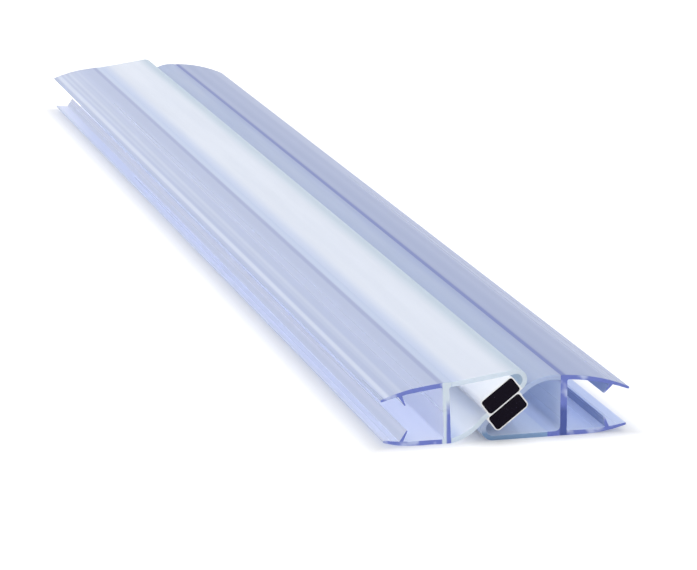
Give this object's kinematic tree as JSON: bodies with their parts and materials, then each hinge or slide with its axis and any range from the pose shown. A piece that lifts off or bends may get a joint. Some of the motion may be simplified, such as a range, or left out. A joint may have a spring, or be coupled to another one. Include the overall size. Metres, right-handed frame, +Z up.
{
  "type": "shower door magnetic seal",
  "caption": "Magnetic seal for the closing edges of glass shower panes: extruded clips with barbed jaws and hollow noses that mate along a slanted magnet joint.",
  "frame": {"origin": "centre of the footprint, on the surface that the seal lies on", "axes": "+Y along the seal, +Z up across its depth, +X across it from the left strip to the right one"},
  "size_m": [0.0472, 0.35, 0.0131],
  "materials": {
    "clear_pvc": "clear hard PVC with a violet-blue cast, glossy as extruded",
    "milky_pvc_left": "milky soft PVC, satin",
    "milky_pvc_right": "grey-blue translucent soft PVC, satin",
    "magnet_strip": "black bonded ferrite strip, matt"
  },
  "bodies": {
    "root": {"clip_left": "clear_pvc", "nose_left": "milky_pvc_left", "magnet_left": "magnet_strip", "clip_right": "clear_pvc", "nose_right": "milky_pvc_right", "magnet_right": "magnet_strip"}
  },
  "joints": []
}
